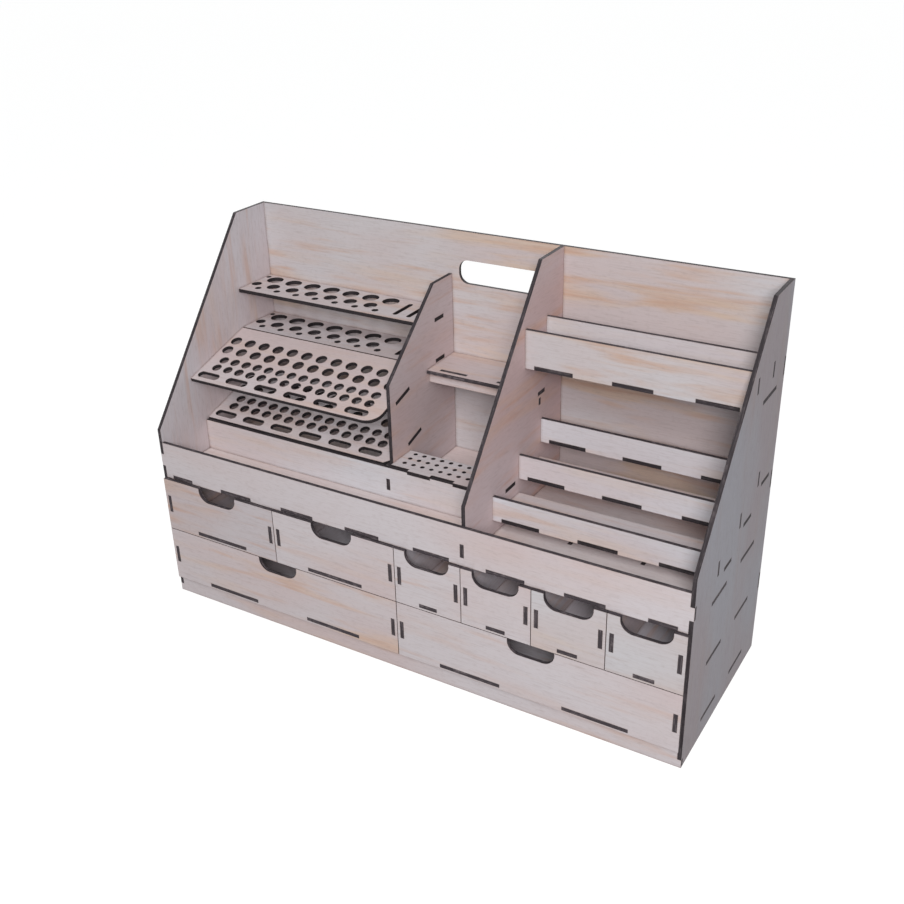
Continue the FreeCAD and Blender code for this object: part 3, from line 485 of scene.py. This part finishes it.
# %% Board with tabs
FRONT_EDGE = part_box("side_panel_left")[0][1]
MM = 0.001
PLY = 3
NEAR_CORNER = 1e-5
NEAR_PLANE = 1e-6
FACING = 0.9


def start_piece():
    """Leave nothing selected before a primitive is added."""
    if bpy.context.object and bpy.context.object.mode != "OBJECT":
        bpy.ops.object.mode_set(mode="OBJECT")
    bpy.ops.object.select_all(action="DESELECT")


def add_board(name, x, y, z):
    """Board between three pairs of limits, in millimetres."""
    start_piece()
    centre = [sum(pair) / 2 * MM for pair in (x, y, z)]
    size = [(pair[1] - pair[0]) * MM for pair in (x, y, z)]
    bpy.ops.mesh.primitive_cube_add(size=1, location=centre)
    board = bpy.context.object
    board.name = board.data.name = name
    board.scale = size
    bpy.ops.object.transform_apply(location=True, rotation=True, scale=True)
    return board


def grow_tab(board, along, limits, side, reach):
    """Pull out a tab: along is the axis it is measured on, side the axis and sign it points to."""
    bpy.context.view_layer.objects.active = board
    bpy.ops.object.mode_set(mode="EDIT")
    bpy.ops.mesh.select_mode(type="FACE")
    for limit in limits:
        bpy.ops.mesh.select_all(action="SELECT")
        bpy.ops.mesh.bisect(plane_co=Vector(AXES[along]) * limit * MM, plane_no=AXES[along])
    bpy.ops.mesh.select_all(action="DESELECT")
    shape = bmesh.from_edit_mesh(board.data)
    pointing = Vector(AXES[side[0]]) * side[1]
    edge = max(face.calc_center_median().dot(pointing) for face in shape.faces
               if limits[0] < face.calc_center_median()[along] / MM < limits[1])
    for face in shape.faces:
        centre = face.calc_center_median()
        if (face.normal.dot(pointing) > FACING and abs(centre.dot(pointing) - edge) < NEAR_PLANE
                and limits[0] < centre[along] / MM < limits[1]):
            face.select_set(True)
    bmesh.update_edit_mesh(board.data)
    bpy.ops.mesh.extrude_region_move(TRANSFORM_OT_translate={"value": pointing * reach * MM})
    bpy.ops.object.mode_set(mode="OBJECT")


def round_corner(board, place, offset, segments):
    """Bevel the upright edge at a corner given as X and Y in millimetres."""
    bpy.context.view_layer.objects.active = board
    bpy.ops.object.mode_set(mode="EDIT")
    bpy.ops.mesh.select_mode(type="EDGE")
    bpy.ops.mesh.select_all(action="DESELECT")
    shape = bmesh.from_edit_mesh(board.data)
    for edge in shape.edges:
        middle = (edge.verts[0].co + edge.verts[1].co) / 2
        if (middle.xy - Vector(place) * MM).length < NEAR_CORNER:
            edge.select_set(True)
    bmesh.update_edit_mesh(board.data)
    bpy.ops.mesh.bevel(offset=offset * MM, segments=segments, affect="EDGES")
    bpy.ops.object.mode_set(mode="OBJECT")


# %% [markdown]
# A hole's cutter is a cylinder. A long hole's cutter is the same cylinder with its two halves
# moved apart. One cutter is copied to every place in its rows, all copies are joined, and one
# Boolean cuts them together.

# %% Cutters and drilling
HOLE_SIDES = 32
CUTTER_DEPTH = 0.02
SMOOTH_ANGLE = math.radians(30)


def hole_cutter(diameter, stretch=(0, 0)):
    """Cylinder, or one whose halves are moved apart along X or Y for a long hole."""
    start_piece()
    bpy.ops.mesh.primitive_cylinder_add(vertices=HOLE_SIDES, radius=diameter / 2 * MM,
                                        depth=CUTTER_DEPTH)
    cutter = bpy.context.object
    for axis in (0, 1):
        if stretch[axis]:
            bpy.ops.object.mode_set(mode="EDIT")
            bpy.ops.mesh.select_mode(type="VERT")
            for sign in (-1, 1):
                bpy.ops.mesh.select_all(action="DESELECT")
                shape = bmesh.from_edit_mesh(cutter.data)
                for vertex in shape.verts:
                    if vertex.co[axis] * sign > NEAR_PLANE:
                        vertex.select_set(True)
                bmesh.update_edit_mesh(cutter.data)
                half_way = Vector(AXES[axis]) * sign * stretch[axis] / 2 * MM
                bpy.ops.transform.translate(value=half_way)
            bpy.ops.object.mode_set(mode="OBJECT")
    return cutter


def row(x, y, pitch, count):
    """Places of a row of holes, in millimetres."""
    return [(x + pitch * step, y) for step in range(count)]


def drill(board, cutter, places, level=0.0):
    """Cut a copy of the cutter out of the board at every place."""
    copies = []
    for x, y in places:
        copy = bpy.data.objects.new("cutter", cutter.data.copy())
        bpy.context.scene.collection.objects.link(copy)
        copy.location = (x * MM, y * MM, level * MM)
        copies.append(copy)
    start_piece()
    for copy in copies:
        copy.select_set(True)
    bpy.context.view_layer.objects.active = copies[0]
    bpy.ops.object.join()
    bpy.ops.object.transform_apply(location=True, rotation=True, scale=True)
    holes = bpy.context.object
    start_piece()
    bpy.context.view_layer.objects.active = board
    board.select_set(True)
    cut = board.modifiers.new("holes", "BOOLEAN")
    cut.operation = "DIFFERENCE"
    cut.solver = "EXACT"
    cut.object = holes
    bpy.ops.object.modifier_apply(modifier=cut.name)
    for used in (holes, cutter):
        bpy.data.objects.remove(used, do_unlink=True)


def finish_sheet(board, node, location, tilt=0.0):
    """Place a sheet, fix its place in its mesh, and let it stand for its CAD node."""
    start_piece()
    bpy.context.view_layer.objects.active = board
    board.select_set(True)
    board.rotation_euler = (tilt, 0, 0)
    board.location = location
    bpy.ops.object.transform_apply(location=True, rotation=True, scale=True)
    bpy.ops.object.shade_smooth_by_angle(angle=SMOOTH_ANGLE)
    wear(board, plywoods[node])
    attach(board, "carcass")
    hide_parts(node)
    print(board.name, "faces:", len(board.data.polygons))


# %% [markdown]
# The two tool decks are tilted. They are drawn lying flat, with Y measured up the slope from the
# front edge, and are turned to their slope at the end. Long holes run along the front edge,
# followed by two rows of small holes and two rows of larger ones. The upper deck has a rounded
# corner towards the short divider, the lower one a clipped corner.

# %% Tool decks
DECK_LEFT, DECK_RIGHT, DECK_LENGTH = -222, -41.5, 71.648
DECK_TAB = (25.824, 45.824)
DECK_FRONTS = {"lower_tool_deck": (55.5, 141.5), "upper_tool_deck": (41.0, 182.2017)}
DECK_ROWS = (
    (7, (14, 0), row(-208.6, 7.5, 29.2, 6)),
    (8, (0, 0), row(-208.6, 18.5, 11.6, 14) + row(-208.6, 28.5, 11.6, 14)),
    (9.6, (0, 0), row(-215, 41.5, 14.7, 12) + row(-215, 54, 14.7, 12)),
)


def add_tool_deck(node, corner, corner_segments):
    """Tilted deck with its rows of holes."""
    board = add_board(node + "_round", (DECK_LEFT, DECK_RIGHT), (0, DECK_LENGTH), (-PLY, 0))
    round_corner(board, (DECK_RIGHT, 0), corner, corner_segments)
    for sign in (-1, 1):
        grow_tab(board, 1, DECK_TAB, (0, sign), PLY)
    for diameter, stretch, places in DECK_ROWS:
        drill(board, hole_cutter(diameter, stretch), places)
    front_y, front_z = DECK_FRONTS[node]
    finish_sheet(board, node, (0, FRONT_EDGE + front_y * MM, front_z * MM), DECK_TILT)


add_tool_deck("upper_tool_deck", corner=12, corner_segments=10)
add_tool_deck("lower_tool_deck", corner=4.5, corner_segments=1)

# %% [markdown]
# The lower deck's front edge leans on the riser, the long upright board under it. The riser is a
# board with tabs at both ends and two at its foot. Its top edge stops a little below the decks'
# tops, so that their burnt edges show, and two notches take the pliers deck's tabs. The short
# divider's tab comes through the slot in the middle.

# %% Riser
RISER_LEFT, RISER_RIGHT, RISER_FOOT, RISER_TOP = -222, 54.375, 113.5, 140
RISER_FRONT, RISER_BACK = 52.5, 55.5
RISER_TAB = (120.5, 130)
RISER_FOOT_TABS = ((-158.8125, -128.8125), (-38.8125, -8.8125))
RISER_CUT_DEPTH = (50, 58)
RISER_CUTS = (
    ((-41.6, -38.4), (120.4, 130.1)),
    ((-22.1625, -1.9625), (138.4, 142)), ((17.8375, 38.0375), (138.4, 142)),
)
riser = add_board("riser_notched", (RISER_LEFT, RISER_RIGHT), (RISER_FRONT, RISER_BACK),
                  (RISER_FOOT, RISER_TOP))
for sign in (-1, 1):
    grow_tab(riser, 2, RISER_TAB, (0, sign), PLY)
for limits in RISER_FOOT_TABS:
    grow_tab(riser, 0, limits, (2, -1), PLY)
for x, z in RISER_CUTS:
    drill(riser, add_board("cutter", x, RISER_CUT_DEPTH, z), [(0, 0)])
finish_sheet(riser, "riser", (0, FRONT_EDGE, 0))

# %% [markdown]
# The two tool shelves are level and alike. Screwdriver handles stand in the large holes at the
# back, their shanks in the holes before them, and two slots beside the short divider hold blades.

# %% Tool shelves
SHELF_LEFT, SHELF_RIGHT, SHELF_FRONT, SHELF_BACK = -222, -41.5, 110.5, 153
SHELF_TAB = (125, 138)
SHELF_REAR_TAB = (-146.75, -116.75)
SHELF_ROWS = (
    (14, (0, 0), row(-208.6, 142.5, 19.7, 7)),
    (11, (0, 0), row(-198.75, 127.5, 19.7, 6)),
    (5.5, (0, 0), row(-208.6, 119.5, 19.7, 7)),
    (8.4, (0, 0), [(-217, 128)]),
    (4.2, (0, 0), [(-219, 146.8)]),
    (4, (0, 22.5), [(-59, 131.25), (-71.7, 131.25)]),
)
SHELF_UNDERSIDES = {"tool_shelf_low": 200, "tool_shelf_high": 234}
for node, underside in SHELF_UNDERSIDES.items():
    shelf = add_board(node + "_round", (SHELF_LEFT, SHELF_RIGHT), (SHELF_FRONT, SHELF_BACK),
                      (underside, underside + PLY))
    for sign in (-1, 1):
        grow_tab(shelf, 1, SHELF_TAB, (0, sign), PLY)
    grow_tab(shelf, 0, SHELF_REAR_TAB, (1, 1), PLY)
    for diameter, stretch, places in SHELF_ROWS:
        drill(shelf, hole_cutter(diameter, stretch), places, underside)
    finish_sheet(shelf, node, (0, FRONT_EDGE, 0))

# %% [markdown]
# The pliers deck is a narrow level sheet with three rows of small round holes. Its two front tabs
# go through the riser, and a tab at each end goes into a divider.

# %% Pliers deck
PLIERS_X, PLIERS_Y, PLIERS_Z = (-38.5, RISER_RIGHT), (RISER_BACK, 83), (138.5, 141.5)
PLIERS_SIDE_TAB = (62, 77)
PLIERS_FRONT_TABS = ((-22.0625, -2.0625), (17.9375, 37.9375))
PIN_HOLE, PIN_LEVEL = 3.5, 140
PIN_PLACES = row(-31, 63, 8, 11) + row(-31, 71, 8, 11) + row(-31, 79, 8, 11)
pliers_deck = add_board("pliers_deck_round", PLIERS_X, PLIERS_Y, PLIERS_Z)
for sign in (-1, 1):
    grow_tab(pliers_deck, 1, PLIERS_SIDE_TAB, (0, sign), PLY)
for limits in PLIERS_FRONT_TABS:
    grow_tab(pliers_deck, 0, limits, (1, -1), PLY)
drill(pliers_deck, hole_cutter(PIN_HOLE), PIN_PLACES, PIN_LEVEL)
finish_sheet(pliers_deck, "pliers_deck", (0, FRONT_EDGE, 0))

# %% [markdown]
# ## Floor
# The floor is a plain grey plane under the organizer. Seen by the camera it is lifted to white,
# and it keeps the organizer's shadow. The Light Path node tells camera rays from the rays that
# light the object, so the lift lights nothing.

# %% Floor
FLOOR_SIZE = 12.0
FLOOR_GREY = 0.3
FLOOR_LIFT = 0.77


def camera_ray(tree):
    """1 for what the camera sees directly, in a mirror or through glass, and 0 for light."""
    path = add_node(tree, "ShaderNodeLightPath")
    seen = math_node(tree, "MAXIMUM", path.outputs["Is Camera Ray"], path.outputs["Is Glossy Ray"])
    return math_node(tree, "MAXIMUM", seen, path.outputs["Is Transmission Ray"])


bpy.ops.mesh.primitive_plane_add(size=FLOOR_SIZE, location=(0, 0, cad_low[2]))
floor = bpy.context.object
floor.name = "floor"
floor_material = bpy.data.materials.new("floor_white")
floor_material.use_nodes = True
floor_tree = floor_material.node_tree
floor_shader = floor_tree.nodes["Principled BSDF"]
floor_shader.inputs["Base Color"].default_value = (FLOOR_GREY, FLOOR_GREY, FLOOR_GREY, 1)
floor_shader.inputs["Roughness"].default_value = 1.0
floor_shader.inputs["Specular IOR Level"].default_value = 0.0
floor_shader.inputs["Emission Color"].default_value = (1, 1, 1, 1)
put(floor_tree, math_node(floor_tree, "MULTIPLY", camera_ray(floor_tree), FLOOR_LIFT),
    floor_shader.inputs["Emission Strength"])
floor.data.materials.append(floor_material)
print("floor at", cad_low[2])

# %% [markdown]
# ## Light
# A few plain lights share the work. A round lamp stands a little behind the camera, so it reaches
# into the bays and through the finger pulls, and the end that is nearer to it is a touch brighter.
# A soft sun from above lights the floors of the steps and puts the places under them in shade, and
# a pale sky fills the shadows. A second sun from behind shows the back, and misses the front.
# Seen by the camera, the sky is as white as the lit floor.

# %% Lamp, sun and sky
LAMP_PLACE = Vector((0.59, -0.96, 0.73))
LAMP_TARGET = Vector((0.0, 0.0, 0.14))
LAMP_POWER = 8.7
LAMP_SIZE = 0.35
LAMP_COLOUR = (1.0, 0.96, 0.965)
SUN_FROM = Vector((0.2, -0.66, 0.72))
SUN_LIGHT = 1.2
SUN_WIDTH = math.radians(20)
SUN_COLOUR = (0.965, 1.0, 1.0)
BACK_FROM = Vector((-0.45, 0.8, 0.4))
BACK_LIGHT = 1.3
WHITE = (1, 1, 1)
SKY_STRENGTH = 0.31
BACKDROP = 0.98


def add_light(name, kind, energy, colour, backwards):
    """Lamp that shines against a direction."""
    lamp_data = bpy.data.lights.new(name, kind)
    lamp_data.energy = energy
    lamp_data.color = colour
    lamp = bpy.data.objects.new(name, lamp_data)
    bpy.context.scene.collection.objects.link(lamp)
    lamp.rotation_euler = backwards.to_track_quat("Z", "Y").to_euler()
    return lamp


lamp = add_light("lamp", "AREA", LAMP_POWER, LAMP_COLOUR, LAMP_PLACE - LAMP_TARGET)
lamp.location = LAMP_PLACE
lamp.data.shape = "DISK"
lamp.data.size = LAMP_SIZE
sun = add_light("sun", "SUN", SUN_LIGHT, SUN_COLOUR, SUN_FROM)
back_sun = add_light("back_sun", "SUN", BACK_LIGHT, WHITE, BACK_FROM)
sun.data.angle = back_sun.data.angle = SUN_WIDTH

sky = bpy.data.worlds.new("sky")
sky.use_nodes = True
sky_tree = sky.node_tree
sky_light = sky_tree.nodes["Background"]
sky_light.inputs["Color"].default_value = (1, 1, 1, 1)
sky_gain = math_node(sky_tree, "MULTIPLY_ADD", camera_ray(sky_tree),
                     BACKDROP - SKY_STRENGTH, SKY_STRENGTH)
put(sky_tree, sky_gain, sky_light.inputs["Strength"])
bpy.context.scene.world = sky
bpy.context.scene.view_settings.view_transform = "Standard"
print("lamp:", LAMP_POWER, "sun:", SUN_LIGHT, "sky:", SKY_STRENGTH)
